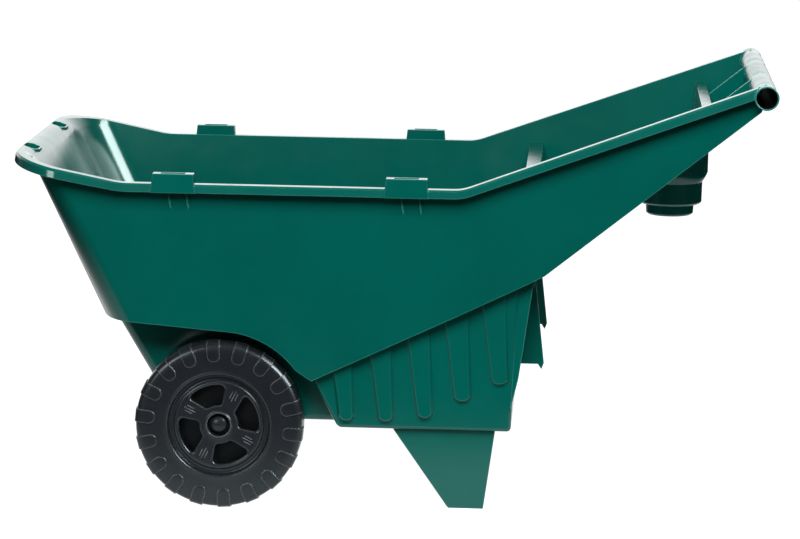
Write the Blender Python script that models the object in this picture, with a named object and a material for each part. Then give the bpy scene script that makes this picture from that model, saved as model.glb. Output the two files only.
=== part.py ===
"""Garden cart: a moulded plastic tub with a tool tray, handle, two legs and two wheels.

Frame: metres, +Z up, +X from the front lip towards the handle, origin on the ground
under the middle of the cart's bounding box. The cart is symmetric about the XZ plane.
"""

from math import acos, cos, hypot, pi, radians, sin, sqrt

import bmesh
import bpy
from mathutils import Matrix, Vector

# ---- driving dimensions -----------------------------------------------------------

WALL = 0.0035                 # tub wall
FLAT_RIM_Z = 0.4925           # top of the rim along the tub
FRONT_BEND_X = -0.392         # rim rises forwards from here to the lip
FRONT_SLOPE = 0.20
REAR_BEND_X = 0.113           # rim rises backwards from here to the handle
REAR_SLOPE = 0.366
RIM_HALF_WIDTH = 0.2855       # inner face of the side wall at the rim
SIDE_DRAFT = 0.09             # side walls lean in by this for each unit of depth
REAR_TAPER = 0.0958           # side walls close in behind the rear bend
FLANGE_WIDTH = 0.020
SKIRT_DEPTH = 0.0130
LIP_X = -0.563                # front edge of the lip
LIP_CORNER = (-0.485, 0.190)  # centre of the lip's outer corner
LIP_ROLL = 0.035              # radius of the roll from the lip into the front wall

FRONT_WALL_FOOT = (-0.4285, 0.2873)
FRONT_WALL_LEAN = 0.4750      # forward travel for each unit of height
FLOOR_Z = 0.1215              # underside of the tub
REAR_WALL_X = 0.190           # outer face of the rear wall at FLOOR_Z
REAR_WALL_LEAN = 0.039

FLUTE_X, FLUTE_PITCH = -0.0675, 0.0588        # first flute's front edge, and the next ones
FLUTE_FACE = 0.2535           # outer face, from the middle of the cart
FLUTE_FEET = (0.1345, 0.1350, 0.1415, 0.1685, 0.1955)
FLUTE_WIDTHS = (0.0202, 0.0208, 0.0208, 0.0200, 0.0176)
FLUTE_ROUND = 0.0070          # height of a flute's rounded end

AXLE_X, AXLE_Z = -0.2455, 0.127
AXLE_RADIUS = 0.00635
AXLE_HALF = 0.270
WHEEL_RADIUS = 0.127
WHEEL_WIDTH = 0.058
WHEEL_Y = 0.250               # middle of the tread
ARCH_CENTRE = (-0.245, 0.1285)
ARCH_RADIUS = 0.139
LUGS = 18
CAP_RADIUS = 0.0130

HANDLE_X, HANDLE_Z = 0.554, 0.6355
HANDLE_RADIUS = 0.018
HANDLE_BORE = 0.0155
HANDLE_HALF = 0.285

RIDGE_TOP = 0.4925            # wall between tub and tool tray
RIDGE_REAR_X = 0.2235
BAND_FRONT_X, BAND_REAR_X, BAND_TOP = 0.466, 0.4825, 0.5995
CUP_X = 0.4235
CUP_TIERS = ((0.0365, 0.4220), (0.0490, 0.4395), (0.0575, 0.4740))   # radius, underside
CUP_CONE = (0.0075, 0.0150)     # the widest tier's narrowing at the bottom: inwards, upwards
ARM_FOOT = (0.2364, 0.3626)   # underside of the tray and arms
ARM_END = (0.5480, 0.6120)

LEG_FACE = 0.235              # outer face of the legs
LEG_DEPTH = 0.045
LEG_TOP, LEG_FOOT = (0.0127, 0.1666), (0.0977, 0.1505)    # front and rear edges
BOLT_XS = (0.065, 0.125)
BOLT_Y = 0.213
BOLT_RADIUS = 0.003

GAP = 0.0003                  # play between neighbouring pieces
LEG_GAP = 0.0010               # between the legs and the tub's floor
ROUND = 20                    # sides of small round pieces
CORNER_STEPS = 7
FAR = 0.9                     # beyond every face of the cart
DATUM_X = -0.0045             # x = 0 of these dimensions, from the middle of the bounding box

RUN = {-1: "near", 1: "far"}


# ---- mesh helpers -----------------------------------------------------------------

def material(name, colour, roughness, metallic=0.0):
    found = bpy.data.materials.get(name)
    if found:
        return found
    made = bpy.data.materials.new(name)
    made.use_nodes = True
    shader = made.node_tree.nodes["Principled BSDF"]
    shader.inputs["Base Color"].default_value = (*colour, 1)
    shader.inputs["Roughness"].default_value = roughness
    shader.inputs["Metallic"].default_value = metallic
    return made


def object_from(bm, name, finish=None):
    bmesh.ops.recalc_face_normals(bm, faces=bm.faces)
    mesh = bpy.data.meshes.new(name)
    bm.to_mesh(mesh)
    bm.free()
    made = bpy.data.objects.new(name, mesh)
    bpy.context.scene.collection.objects.link(made)
    if finish:
        mesh.materials.append(finish)
    return made


def loft(rings, name="solid", closed_path=False, finish=None):
    """A closed solid through rings of points that have the same count."""
    bm = bmesh.new()
    loops = [[bm.verts.new(point) for point in ring] for ring in rings]
    count = len(loops[0])
    pairs = list(zip(loops, loops[1:]))
    if closed_path:
        pairs.append((loops[-1], loops[0]))
    for low, high in pairs:
        for k in range(count):
            bm.faces.new((low[k], low[(k + 1) % count], high[(k + 1) % count], high[k]))
    if not closed_path:
        bm.faces.new(loops[0])
        bm.faces.new(loops[-1])
    return object_from(bm, name, finish)


def prism(profile, low, high, axis="Y", name="prism"):
    """An outline, in the plane across the axis, drawn out from low to high."""
    place = {
        "X": lambda a, b, c: (c, a, b),
        "Y": lambda a, b, c: (a, c, b),
        "Z": lambda a, b, c: (a, b, c),
    }[axis]
    return loft([[place(a, b, level) for a, b in profile] for level in (low, high)], name)


def box(low, high, name="box"):
    (x0, y0, z0), (x1, y1, z1) = low, high
    return prism([(x0, y0), (x1, y0), (x1, y1), (x0, y1)], z0, z1, "Z", name)


def circle(centre, radius, count=ROUND, turn=0.0):
    return [
        (centre[0] + radius * cos(turn + 2 * pi * k / count),
         centre[1] + radius * sin(turn + 2 * pi * k / count))
        for k in range(count)
    ]


def rod(centre, radius, low, high, axis="Y", count=ROUND, name="rod"):
    return prism(circle(centre, radius, count), low, high, axis, name)


def turned(profile, axis_point, name, finish, count=ROUND):
    """A ring turned about a line along Y: profile holds (radius, y) pairs."""
    x, z = axis_point
    rings = [
        [(x + r * cos(2 * pi * k / count), y, z + r * sin(2 * pi * k / count)) for r, y in profile]
        for k in range(count)
    ]
    return loft(rings, name, closed_path=True, finish=finish)


def bake(target):
    """Turns an object's modifiers into mesh."""
    graph = bpy.context.evaluated_depsgraph_get()
    mesh = bpy.data.meshes.new_from_object(target.evaluated_get(graph))
    target.modifiers.clear()
    old, target.data = target.data, mesh
    bpy.data.meshes.remove(old)


def combine(target, others, operation):
    """Boolean of the target with each of the other solids, which it uses up."""
    for other in others:
        step = target.modifiers.new("step", "BOOLEAN")
        step.operation = operation
        step.object = other
        bake(target)
        bpy.data.objects.remove(other)
    return target


def union(target, *others):
    return combine(target, others, "UNION")


def cut(target, *others):
    return combine(target, others, "DIFFERENCE")


def common(target, *others):
    return combine(target, others, "INTERSECT")


def round_foot(target, width, steps=2):
    """Rounds the edges where a solid's walls meet its underside."""
    bm = bmesh.new()
    bm.from_mesh(target.data)
    bmesh.ops.dissolve_limit(
        bm, angle_limit=radians(0.3), verts=bm.verts, edges=bm.edges)
    edges = []
    for edge in bm.edges:
        lows = sorted(face.normal.z for face in edge.link_faces)
        if len(lows) == 2 and lows[0] < -0.5 < lows[1] < 0.5:
            edges.append(edge)
    bmesh.ops.bevel(
        bm, geom=edges, offset=width, segments=steps, profile=0.5, affect="EDGES",
        clamp_overlap=True)
    bm.to_mesh(target.data)
    bm.free()
    return target


def finished(target, name, finish, sharp=35.0):
    """Names a finished piece, gives it its material and smooths its round faces."""
    target.name = target.data.name = name
    target.data.materials.clear()
    target.data.materials.append(finish)
    target.data.shade_smooth()
    target.data.set_sharp_from_angle(angle=radians(sharp))
    return target


def origin_at(target, point):
    """Moves a piece's origin without moving the piece."""
    target.data.transform(Matrix.Translation(-Vector(point)))
    target.location = point
    return target


# ---- the tub's lines ----------------------------------------------------------------

def rim_z(x):
    front = FRONT_SLOPE * max(0.0, FRONT_BEND_X - x)
    return FLAT_RIM_Z + front + REAR_SLOPE * max(0.0, x - REAR_BEND_X)


def half_width(x, z):
    """Inner face of the side wall."""
    taper = REAR_TAPER * max(0.0, x - REAR_BEND_X)
    return RIM_HALF_WIDTH - taper - SIDE_DRAFT * (FLAT_RIM_Z - z)


def front_line(z):
    """Outer face of the front wall, below its roll into the lip."""
    return FRONT_WALL_FOOT[0] - FRONT_WALL_LEAN * (z - FRONT_WALL_FOOT[1])


def rear_line(z):
    """Outer face of the rear wall."""
    return REAR_WALL_X + REAR_WALL_LEAN * (z - FLOOR_Z)


def arm_line(x):
    """Underside of the tray and the arms."""
    slope = (ARM_END[1] - ARM_FOOT[1]) / (ARM_END[0] - ARM_FOOT[0])
    return ARM_FOOT[1] + slope * (x - ARM_FOOT[0])


def front_depth(inset):
    return inset * sqrt(1 + FRONT_WALL_LEAN ** 2)


def roll_centre():
    """Centre of the arc that is tangent to the lip's top and the wall's inner face."""
    lip = (FRONT_SLOPE / hypot(1, FRONT_SLOPE), 1 / hypot(1, FRONT_SLOPE))
    lean = hypot(1, FRONT_WALL_LEAN)
    wall = (1 / lean, FRONT_WALL_LEAN / lean)
    # x = a - FRONT_WALL_LEAN * z on the wall, z = b - FRONT_SLOPE * x on the lip
    a = (front_line(0) + front_depth(WALL)
         - LIP_ROLL * (wall[0] + FRONT_WALL_LEAN * wall[1]))
    b = FLAT_RIM_Z + FRONT_SLOPE * FRONT_BEND_X - LIP_ROLL * (lip[1] + FRONT_SLOPE * lip[0])
    x = (a - FRONT_WALL_LEAN * b) / (1 - FRONT_WALL_LEAN * FRONT_SLOPE)
    return x, b - FRONT_SLOPE * x, lip, wall


def front_crossing(z, inset):
    """Where the front wall crosses the height z, with its roll into the lip."""
    x, centre_z, lip, wall = roll_centre()
    radius = LIP_ROLL - (WALL - inset)
    if z <= centre_z + radius * wall[1]:
        return front_line(z) + front_depth(inset)
    height = min(z - centre_z, radius * lip[1])
    return x + radius * sin(acos(height / radius))


def plan_loop(z, inset):
    """Outline of the upper tub at one height, inset from its outer face."""
    front = front_crossing(z, inset)
    middle = front_line(z) + front_depth(inset) + 0.050
    round_y = 0.065 + 0.035 * min(1.0, max(0.0, (z - 0.27) / 0.24))
    ease = WALL - inset

    def side(x):
        return half_width(x, z) + ease

    near = [(0.60, side(0.60)), (REAR_BEND_X, side(REAR_BEND_X))]
    for k in range(CORNER_STEPS + 1):
        angle = pi / 2 * k / CORNER_STEPS
        near.append((middle - (middle - front) * sin(angle),
                     side(middle) - round_y * (1 - cos(angle))))
    return [(x, -y, z) for x, y in near] + [(x, y, z) for x, y in reversed(near)]


def arch(inset, steps=9):
    """The wheel arch's edge, from its top to where it meets the flute box."""
    turn = [radians(88 - 52 * k / steps) for k in range(steps + 1)]
    radius = ARCH_RADIUS + inset
    return [(ARCH_CENTRE[0] + radius * cos(a), ARCH_CENTRE[1] + radius * sin(a)) for a in turn]


def upper_profile(inset):
    """Side view of the upper tub's underside, from the front backwards."""
    lift = inset * 1.08
    return ([(-0.70, 0.3020 + lift), (-0.375, 0.2783 + lift)] + arch(inset)
            + [(-0.1087, 0.1944 + inset * 1.2), (0.2145, 0.3510 + lift)])


def lower_loop(z, inset):
    """Outline of the narrow lower tub between the wheels."""
    front = -0.3180 - 0.590 * (z - FLOOR_Z) + inset * 1.16
    side = 0.198 + 0.048 * (z - FLOOR_Z) - inset
    corner = 0.018
    near = [(0.150, side)]
    for k in range(4):
        angle = pi / 2 * k / 3
        near.append((front + corner * (1 - sin(angle)), side - corner * (1 - cos(angle))))
    return [(x, -y, z) for x, y in near] + [(x, y, z) for x, y in reversed(near)]


def box_loop(z, inset):
    """Outline of the wide flute box behind the wheels."""
    front = -0.0693 - 0.54 * (z - FLOOR_Z) + inset * 1.14
    side = 0.246 + 0.0248 * (z - FLOOR_Z) - inset
    rear = rear_line(z) - inset
    return [(rear, -side, z), (front, -side, z), (front, side, z), (rear, side, z)]


# ---- the body -----------------------------------------------------------------------

def upper_levels(inset):
    """Heights of the upper tub's outlines: close together where the lip rolls over."""
    x, z, lip, wall = roll_centre()
    radius = LIP_ROLL - (WALL - inset)
    steps = 4
    roll = [z + radius * (wall[1] + (lip[1] - wall[1]) * sin(pi / 2 * k / steps))
            for k in range(steps + 1)]
    return [0.15] + roll + [0.80]


def upper_shape(inset, floor, name):
    """The upper tub, or its hollow, above the given side profile."""
    shape = loft([plan_loop(z, inset) for z in upper_levels(inset)], name)
    return common(shape, prism(floor, -FAR, FAR, "Y"))


def outer_shape():
    floor = upper_profile(0.0) + [ARM_FOOT, ARM_END, (HANDLE_X, 0.6285), (HANDLE_X, 0.82),
                                  (-0.70, 0.82)]
    body = round_foot(upper_shape(0.0, floor, "body"), 0.0050)
    lower = loft([lower_loop(z, 0.0) for z in (FLOOR_Z, 0.3035)])
    flute_box = loft([box_loop(z, 0.0) for z in (FLOOR_Z, 0.3500)])
    union(body, round_foot(lower, 0.010), round_foot(flute_box, 0.0060))
    return union(body, *flutes(0.0), *cup_tiers(0.0))


def flutes(inset):
    """Raised ribs down the side of the flute box, or their hollows."""
    made = []
    for side in RUN:
        for k, (foot, width) in enumerate(zip(FLUTE_FEET, FLUTE_WIDTHS)):
            left = FLUTE_X + FLUTE_PITCH * k
            top = 0.2345 + 0.0285 * k
            start = foot + FLUTE_ROUND

            def outline(grow, y):
                def edge(z):
                    return (left - 0.142 * (z - 0.1535) + inset - grow,
                            left + width - 0.040 * (z - 0.1535) - inset + grow)

                low, high = edge(start)
                middle, half = (low + high) / 2, (high - low) / 2
                radius = FLUTE_ROUND - inset + grow * 0.6
                points = [(edge(top)[1], top), (edge(top)[0], top)]
                points += [(middle - half * cos(pi * j / 6), start - radius * sin(pi * j / 6))
                           for j in range(7)]
                return [(x, side * y, z) for x, z in points]

            made.append(loft([outline(0.0, FLUTE_FACE - inset),
                              outline(0.0065, FLUTE_FACE - 0.010 - inset)]))
    return made


def cup_tiers(inset):
    """The stepped cup holder under the tray; its widest tier narrows at the bottom."""
    made = []
    for radius, underside in CUP_TIERS:
        top = 0.70 if inset else arm_line(CUP_X + radius) + 0.004
        narrowing = CUP_CONE if radius == CUP_TIERS[-1][0] else (0.0, 0.0)
        low = underside + inset
        sizes = [(radius - inset - narrowing[0], low), (radius - inset, low + narrowing[1]),
                 (radius - inset, top)]
        if not any(narrowing):
            del sizes[0]
        made.append(loft([[(x, y, z) for x, y in circle((CUP_X, 0), r, 28)] for r, z in sizes]))
    return made


def flange():
    """The rim all round: a flat flange with a skirt along its outer edge."""
    x_end = 0.541
    path = [(x_end, 0.030), (REAR_BEND_X, 0.030), (FRONT_BEND_X, 0.030)]
    inner, outer = [], []
    for x, _ in path:
        y = half_width(x, rim_z(x))
        inner.append((x, y - 0.010))
        outer.append((x, y + FLANGE_WIDTH))
    side = half_width(LIP_CORNER[0], rim_z(LIP_CORNER[0])) + FLANGE_WIDTH
    for k in range(CORNER_STEPS + 1):
        angle = pi / 2 * k / CORNER_STEPS
        outer.append((LIP_CORNER[0] - (LIP_CORNER[0] - LIP_X) * sin(angle),
                      side - (side - LIP_CORNER[1]) * (1 - cos(angle))))
        inner.append((LIP_CORNER[0] + 0.02 - 0.050 * sin(angle),
                      side - 0.035 - (side - LIP_CORNER[1]) * 0.8 * (1 - cos(angle))))
    sections = []
    for mirror in (-1, 1):
        run = []
        for (ix, iy), (ox, oy) in zip(inner, outer):
            reach = hypot(ox - ix, oy - iy)
            ux, uy = (ox - ix) / reach, (oy - iy) / reach
            away = min(1.0, max(0.0, max(ix - REAR_BEND_X, FRONT_BEND_X - ix) / 0.10))
            drop = SKIRT_DEPTH + 0.0025 * away
            skirt = (ox - ux * 0.003, oy - uy * 0.003)
            z_in, z_out = rim_z(ix), rim_z(ox)
            run.append([
                (ix, mirror * iy, z_in + 0.01), (ox, mirror * oy, z_out + 0.01),
                (ox, mirror * oy, z_out - drop), (skirt[0], mirror * skirt[1], z_out - drop),
                (skirt[0], mirror * skirt[1], rim_z(skirt[0]) - WALL),
                (ix, mirror * iy, z_in - WALL),
            ])
        sections.append(run)
    return loft(sections[0] + sections[1][::-1], "flange")


def rim_trim():
    """Everything above the rim's line."""
    line = [(-0.75, rim_z(-0.75)), (FRONT_BEND_X, FLAT_RIM_Z),
            (REAR_BEND_X, FLAT_RIM_Z), (0.75, rim_z(0.75))]
    return prism(line + [(0.75, 1.1), (-0.75, 1.1)], -FAR, FAR, "Y")


def hollow():
    """The space inside the walls: tub, tool tray, and the gap in front of the handle."""
    tray = WALL * 1.28
    ridge_foot = RIDGE_REAR_X + 0.006
    floor = upper_profile(WALL)[:-1]
    wall_foot = 0.3440
    floor += [(rear_line(wall_foot) - WALL, wall_foot),
              (rear_line(RIDGE_TOP) - WALL, RIDGE_TOP), (RIDGE_REAR_X, RIDGE_TOP),
              (ridge_foot, 0.3635), (ARM_FOOT[0], ARM_FOOT[1] + tray),
              (BAND_FRONT_X, arm_line(BAND_FRONT_X) + tray), (BAND_FRONT_X, BAND_TOP),
              (BAND_REAR_X, BAND_TOP), (BAND_REAR_X, 0.10), (0.61, 0.10),
              (0.61, 0.82), (-0.70, 0.82)]
    space = round_foot(upper_shape(WALL, floor, "hollow"), 0.0035)
    lower = loft([lower_loop(z, WALL) for z in (FLOOR_Z + WALL, 0.3025)])
    wide = loft([box_loop(z, WALL) for z in (FLOOR_Z + WALL, 0.3490)])
    union(space, round_foot(lower, 0.008), round_foot(wide, 0.0045))
    return union(space, *flutes(WALL))


def brackets():
    """Two hollow tool brackets on each side of the rim, with a slot through each."""
    solids, slots = [], []
    for side in RUN:
        for middle in (-0.3130, 0.0310):
            inner = half_width(middle, FLAT_RIM_Z)
            faces = sorted((side * (inner + 0.0008), side * (inner + FLANGE_WIDTH + 0.0006)))
            foot = FLAT_RIM_Z - SKIRT_DEPTH - 0.0004
            outline = [(middle - 0.033, foot), (middle + 0.033, foot),
                       (middle + 0.0305, FLAT_RIM_Z + 0.0155),
                       (middle - 0.0300, FLAT_RIM_Z + 0.0155)]
            solids.append(prism(outline, *faces, "Y"))
            low, high = sorted((side * (inner + 0.0042), side * (inner + 0.0174)))
            slots.append(box((middle - 0.0180, low, foot - 0.02),
                             (middle + 0.0180, high, FLAT_RIM_Z + 0.05)))
            relief = sorted((side * (inner + WALL + 0.001), side * (inner + FLANGE_WIDTH - 0.0026)))
            slots.append(box((middle - 0.0295, relief[0], foot - 0.02),
                             (middle + 0.0295, relief[1], FLAT_RIM_Z + 0.0125)))
    return solids, slots


def gussets():
    """Thin webs under each bracket, from the skirt in to the wall."""
    made = []
    for side in RUN:
        for middle in (-0.3130, 0.0310):
            for x in (middle - 0.0090, middle + 0.0175):
                wall = half_width(x, 0.4505) + WALL - 0.0015
                out = half_width(x, FLAT_RIM_Z) + FLANGE_WIDTH - 0.0015
                outline = [(wall, 0.4505), (out, 0.4800), (out, 0.4905), (wall, 0.4905)]
                made.append(loft([
                    [(x + across + 0.12 * (0.4905 - z), side * y, z) for y, z in outline]
                    for across in (-0.00125, 0.00125)]))
    return made


def lip_slots():
    """Two hand slots through the front lip."""
    made = []
    for side in RUN:
        x, y, half, radius = -0.5475, side * 0.136, 0.0215, 0.0105
        ends = [(x + radius * cos(pi * (k / 8 + (0 if j > 0 else 1))),
                 y + j * (half - radius) + radius * sin(pi * (k / 8 + (0 if j > 0 else 1))))
                for j in (1, -1) for k in range(9)]
        made.append(prism(ends, 0.49, 0.57, "Z"))
    return made


def cores():
    """Hollows of the ridge and the band, open underneath."""
    low, high = 0.3035, RIDGE_TOP - WALL
    ridge = [(rear_line(low) + 0.0001, low), (RIDGE_REAR_X + 0.006, low),
             (RIDGE_REAR_X + 0.0028, 0.3595), (RIDGE_REAR_X - WALL, high), (rear_line(high), high)]
    side = half_width(0.21, 0.40) - 0.012
    top = BAND_TOP - 0.003
    band = [(BAND_FRONT_X + 0.003, 0.480), (BAND_REAR_X - 0.003, 0.480),
            (BAND_REAR_X - 0.003, top), (BAND_FRONT_X + 0.003, top)]
    width = half_width(BAND_FRONT_X, BAND_TOP) - 0.010
    beside_cup = CUP_TIERS[-1][0] + 0.003
    return [prism(ridge, -side, side, "Y"),
            prism(band, -width, -beside_cup, "Y"), prism(band, beside_cup, width, "Y")]


def fins():
    """Upright plates behind the rear wall, under the tray."""
    made = []
    edge = [(0.1885, 0.1535), (rear_line(0.20) + 0.007, 0.2035), (0.2185, 0.3385),
            (0.2240, 0.3570), (0.1975, 0.3485)]
    plate = [(0.1925, 0.2125), (0.2277, 0.2125), (0.2330, 0.2045), (0.2367, 0.2139),
             (0.2225, 0.3335), (0.2225, 0.3735), (0.2010, 0.4235), (0.1985, 0.4235)]
    for side in RUN:
        outer = sorted((side * 0.2478, side * 0.2448))
        made.append(prism(edge, *outer, "Y"))
        inner = sorted((side * 0.1720, side * 0.1690))
        made.append(prism(plate, *inner, "Y"))
    return made


def handle_ribs():
    """Webs that join the band to the handle."""
    made = []
    for y in (-0.0975, 0.0975):
        outline = [(BAND_REAR_X - 0.004, 0.5560), (HANDLE_X - 0.010, 0.6150),
                   (HANDLE_X - 0.006, HANDLE_Z + 0.0160), (BAND_REAR_X - 0.004, 0.5965)]
        made.append(prism(outline, y - 0.0020, y + 0.0020, "Y"))
    return made


def make_body(finish):
    body = outer_shape()
    union(body, flange(), *gussets())
    cut(body, rim_trim(), hollow())
    solids, slots = brackets()
    union(body, *solids)
    hump = box((AXLE_X - 0.0155, -0.1975, FLOOR_Z + 0.001), (AXLE_X + 0.0155, 0.1975, 0.1445))
    union(body, hump, rod((HANDLE_X, HANDLE_Z), HANDLE_RADIUS, -HANDLE_HALF, HANDLE_HALF))
    channel = box((AXLE_X - 0.0120, -0.1915, 0.10), (AXLE_X + 0.0120, 0.1915, 0.1410))
    axle_hole = rod((AXLE_X, AXLE_Z), AXLE_RADIUS + GAP, -0.23, 0.23)
    cut(body, channel, axle_hole, *cores(), *slots, *lip_slots())
    union(body, *fins(), *handle_ribs())
    cut(body, rod((HANDLE_X, HANDLE_Z), HANDLE_BORE, -0.30, 0.30), cup_hollow())
    holes = [rod((x, side * BOLT_Y), BOLT_RADIUS + GAP, 0.10, 0.14, "Z", 12)
             for side in RUN for x in BOLT_XS]
    cut(body, *holes)
    return finished(body, "body", finish)


def cup_hollow():
    first, *rest = cup_tiers(0.003)
    mouth = box((0.30, -0.10, 0.38), (BAND_FRONT_X - 0.003, 0.10, 0.80))
    return common(union(first, *rest), mouth)


# ---- legs and their bolts --------------------------------------------------------------

def make_leg(side, finish):
    """A tapered channel, open towards the middle of the cart."""
    top = FLOOR_Z - LEG_GAP

    def ring(z, inset, depth, lean=0.002):
        share = z / top
        front = LEG_FOOT[0] + (LEG_TOP[0] - LEG_FOOT[0]) * share + inset * 1.25
        rear = LEG_FOOT[1] + (LEG_TOP[1] - LEG_FOOT[1]) * share - inset
        face = LEG_FACE - lean * (1 - share) - inset
        return [(front, side * face, z), (rear, side * face, z),
                (rear, side * (LEG_FACE - depth), z), (front, side * (LEG_FACE - depth), z)]

    leg = loft([ring(0.0, 0.0, 0.036), ring(top, 0.0, LEG_DEPTH)])
    inner = loft([ring(0.0045, WALL, 0.080), ring(top - 0.004, WALL, 0.080)])
    cut(leg, inner)
    for x in BOLT_XS:
        cut(leg, rod((x, side * BOLT_Y), BOLT_RADIUS + GAP, 0.10, 0.14, "Z", 12))
    return finished(leg, f"leg_{RUN[side]}", finish)


def make_bolt(side, index, finish):
    """A domed bolt that drops through the tub's floor and the leg's top plate."""
    seat = FLOOR_Z + WALL + GAP
    profile = [(BOLT_RADIUS, 0.1070), (BOLT_RADIUS, seat), (0.0072, seat),
               (0.0068, seat + 0.0018), (0.0045, seat + 0.0032), (0.0020, seat + 0.0038)]
    centre = (BOLT_XS[index], side * BOLT_Y)
    rings = [[(x, y, z) for x, y in circle(centre, r, 12)] for r, z in profile]
    return finished(loft(rings), f"leg_bolt_{RUN[side]}_{index + 1}", finish)


def make_nut(side, index, finish):
    """A hexagon nut under the leg's top plate."""
    top = FLOOR_Z - LEG_GAP - 0.004 - GAP
    centre = (BOLT_XS[index], side * BOLT_Y)
    nut = prism(circle(centre, 0.0058, 6), top - 0.005, top, "Z")
    cut(nut, rod(centre, BOLT_RADIUS + GAP, 0.09, 0.14, "Z", 12))
    return finished(nut, f"leg_nut_{RUN[side]}_{index + 1}", finish)


# ---- wheels and axle --------------------------------------------------------------------

BUSH_BORE = AXLE_RADIUS + GAP
BUSH_RADIUS = 0.0095
HUB_BORE = BUSH_RADIUS + GAP
HUB_SEAT = 0.010              # outboard face of the hub, from the wheel's middle
WEB_BACK = 0.0000             # inboard face of the disc, behind its pockets


def wheel_section():
    """Half section as (radius, distance outboard of the wheel's middle)."""
    face = WHEEL_WIDTH / 2
    return [
        (HUB_BORE, HUB_SEAT), (0.0165, HUB_SEAT), (0.0170, 0.0250), (0.0190, 0.0250),
        (0.0205, 0.0225), (0.0660, 0.0230), (0.0690, 0.0200), (0.0750, 0.0200),
        (0.0775, face - 0.0008), (0.1180, face - 0.0014), (0.1235, 0.0240),
        (0.1255, 0.0170), (0.1255, -0.0180), (0.1230, -0.0250), (0.1190, -face),
        (0.1170, -face), (0.1200, -0.0120), (0.1200, 0.0150), (0.1140, 0.0215),
        (0.0790, 0.0220), (0.0740, WEB_BACK), (0.0210, WEB_BACK), (0.0185, -face),
        (HUB_BORE, -face),
    ]


def make_lug(side, k):
    """One tread lug: it wraps from the tread over the shoulder on to the sidewall."""
    turn = 2 * pi * (k - 0.28) / LUGS
    half = 0.0098
    face = WHEEL_WIDTH / 2
    crown = sqrt(WHEEL_RADIUS ** 2 - half ** 2)
    outline = [(0.1235, 0.006), (crown, 0.006), (crown, 0.0180), (0.1245, 0.0258),
               (0.1185, face), (0.0985, face), (0.0975, face - 0.004), (0.1170, 0.0200)]
    rings = []
    for across in (-half, half):
        ring = []
        for r, out in outline:
            x = r * cos(turn) - across * sin(turn)
            z = r * sin(turn) + across * cos(turn)
            ring.append((AXLE_X + x, side * (WHEEL_Y + out), AXLE_Z + z))
        rings.append(ring)
    return loft(rings)


def make_window(side, k):
    """A kidney-shaped pocket in the wheel's disc."""
    middle = radians(18 + 90 * k)
    half = radians(31)
    steps = 5
    outer = [(0.0605, middle - half + 2 * half * j / steps) for j in range(steps + 1)]
    inner = [(0.0290, middle + half * 0.75 - 1.5 * half * j / 3) for j in range(4)]
    outline = [(AXLE_X + r * cos(a), AXLE_Z + r * sin(a)) for r, a in outer + inner]
    low, high = sorted((side * (WHEEL_Y + WEB_BACK + 0.005), side * (WHEEL_Y + 0.035)))
    return prism(outline, low, high, "Y")


def make_wheel(side, finish):
    """One moulded wheel: tread, sidewall, windowed disc, hub and ribs in one piece."""
    section = [(r, side * (WHEEL_Y + out)) for r, out in wheel_section()]
    wheel = turned(section, (AXLE_X, AXLE_Z), "wheel", finish, 2 * LUGS)
    ribs = []
    for k in range(4):
        turn = radians(63 + 90 * k)
        spoke = [(0.0180, -0.0015), (0.1210, -0.0015), (0.1210, 0.0015), (0.0180, 0.0015)]
        outline = [(AXLE_X + a * cos(turn) - b * sin(turn), AXLE_Z + a * sin(turn) + b * cos(turn))
                   for a, b in spoke]
        low, high = sorted((side * (WHEEL_Y - 0.0200), side * (WHEEL_Y + 0.0180)))
        ribs.append(prism(outline, low, high, "Y"))
    union(wheel, *ribs, *[make_lug(side, k) for k in range(LUGS)])
    cut(wheel, *[make_window(side, k) for k in range(4)])
    finished(wheel, f"wheel_{RUN[side]}", finish)
    return origin_at(wheel, (AXLE_X, side * WHEEL_Y, AXLE_Z))


def make_ring(name, side, inner, outer, start, end, finish):
    """A plain ring on the axle, from start to end as distances from the cart's middle."""
    profile = [(inner, side * start), (outer, side * start), (outer, side * end), (inner, side * end)]
    ring = turned(profile, (AXLE_X, AXLE_Z), name, finish)
    return origin_at(finished(ring, f"{name}_{RUN[side]}", finish), (AXLE_X, 0, AXLE_Z))


def make_cap(side, finish):
    """A domed push-on cap over the end of the axle."""
    start = WHEEL_Y + HUB_SEAT + 2 * GAP + 0.0015
    profile = [(AXLE_RADIUS + GAP, start), (CAP_RADIUS, start), (CAP_RADIUS, start + 0.0065),
               (0.0120, start + 0.0090), (0.0085, start + 0.0114), (0.0030, start + 0.0125),
               (0.0030, start + 0.0110), (AXLE_RADIUS + GAP, start + 0.0102)]
    ring = turned([(r, side * y) for r, y in profile], (AXLE_X, AXLE_Z), "cap", finish)
    return origin_at(finished(ring, f"axle_cap_{RUN[side]}", finish), (AXLE_X, 0, AXLE_Z))


def make_running_gear(plastic, steel):
    axle = rod((AXLE_X, AXLE_Z), AXLE_RADIUS, -AXLE_HALF, AXLE_HALF, "Y", ROUND)
    origin_at(finished(axle, "axle", steel), (AXLE_X, 0, AXLE_Z))
    inboard = WHEEL_Y - WHEEL_WIDTH / 2
    for side in RUN:
        make_wheel(side, plastic)
        make_ring("wheel_bush", side, BUSH_BORE, BUSH_RADIUS,
                  inboard, WHEEL_Y + HUB_SEAT, plastic)
        make_ring("spacer", side, BUSH_BORE, 0.0160, 0.2045, inboard - GAP, plastic)
        make_ring("washer", side, BUSH_BORE, 0.0120, WHEEL_Y + HUB_SEAT + GAP,
                  WHEEL_Y + HUB_SEAT + GAP + 0.0015, steel)
        make_cap(side, plastic)


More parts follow.
